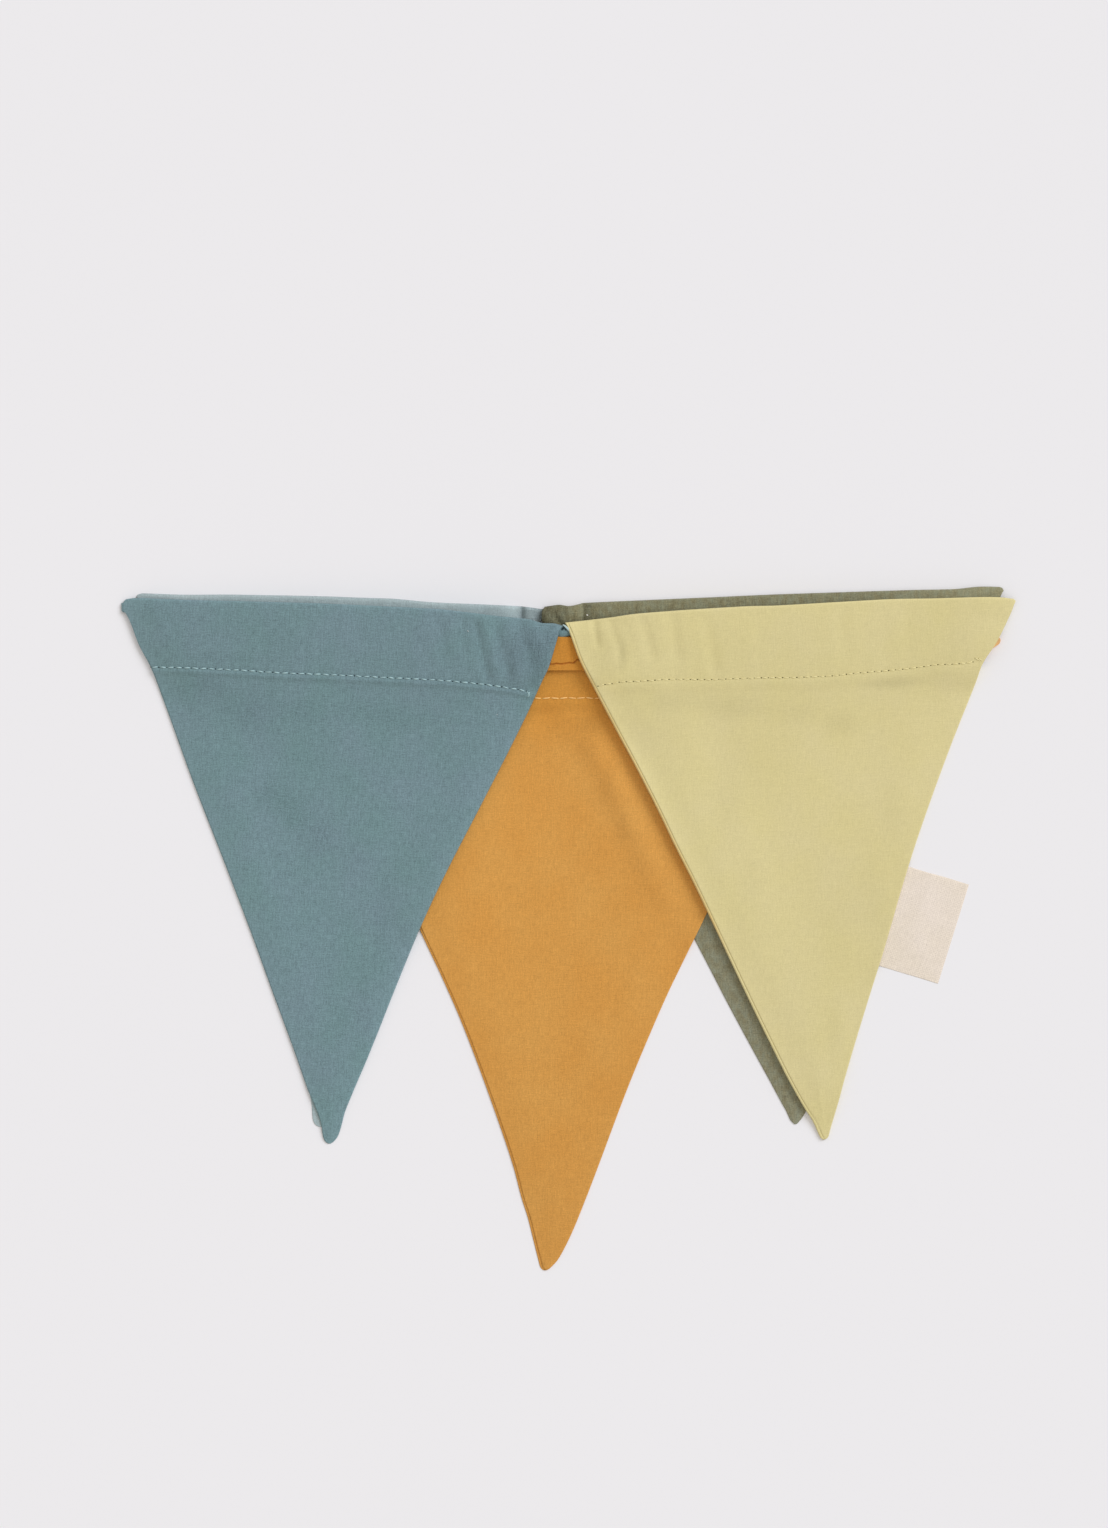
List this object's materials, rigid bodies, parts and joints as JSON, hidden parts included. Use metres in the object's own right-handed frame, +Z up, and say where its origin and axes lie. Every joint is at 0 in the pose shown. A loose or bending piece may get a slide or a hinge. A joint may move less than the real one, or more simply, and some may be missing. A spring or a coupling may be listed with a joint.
{
  "type": "fabric bunting",
  "caption": "Fabric bunting folded up flat: triangular cotton flags with stitched casings on a narrow band, lying face up, with a bare side label.",
  "frame": {"origin": "middle of the folded bunting's outline, on the surface that it lies on", "axes": "+X along the flags' top edges to the right, +Y from the flags' tips to their top edges, +Z up out of the face"},
  "size_m": [0.286, 0.2192, 0.0081],
  "materials": {
    "light_blue_cotton": "matte plain-weave cotton, light grey-blue",
    "dark_green_cotton": "matte plain-weave cotton, dark olive green",
    "ochre_cotton": "matte plain-weave cotton, ochre",
    "blue_cotton": "matte plain-weave cotton, dusty slate blue",
    "pale_green_cotton": "matte plain-weave cotton, pale yellow-green",
    "label_weave": "fine ribbed woven label, cream, bare"
  },
  "bodies": {
    "root": {"flag_light_blue": "light_blue_cotton", "flag_dark_green": "dark_green_cotton", "flag_ochre": "ochre_cotton", "band_ochre": "ochre_cotton", "side_label": "label_weave", "flag_blue": "blue_cotton", "flag_pale_green": "pale_green_cotton"}
  },
  "joints": []
}
